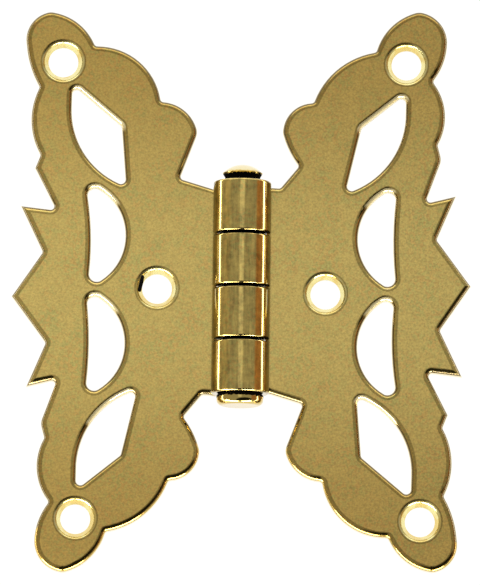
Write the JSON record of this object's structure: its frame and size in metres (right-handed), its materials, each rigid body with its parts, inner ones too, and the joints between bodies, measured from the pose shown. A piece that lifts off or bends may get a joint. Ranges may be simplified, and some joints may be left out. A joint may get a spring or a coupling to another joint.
{
  "type": "butterfly hinge",
  "caption": "Brass surface-mount cabinet hinge with two pierced butterfly-wing leaves, rolled knuckles and a headed pin.",
  "frame": {"origin": "middle of the hinge lying open on its back, at the height of the backs of the leaves", "axes": "+Y along the pin, from its button head to its dome; +Z out of the front, knuckles up; +X across to the leaf that carries the top knuckle"},
  "size_m": [0.0622, 0.0772, 0.0079],
  "materials": {
    "leaf_brass": "polished, lacquered plate",
    "pin_brass": "polished"
  },
  "bodies": {
    "left": {"left_leaf": "leaf_brass", "pin": "pin_brass"},
    "right": {"right_leaf": "leaf_brass"}
  },
  "joints": [
    {"name": "leaf_swing", "type": "hinge", "parent": "left", "child": "right", "pos_m": [0, 0, 0.00393], "axis": [0, -1, 0], "range_deg": [-70, 180]}
  ]
}
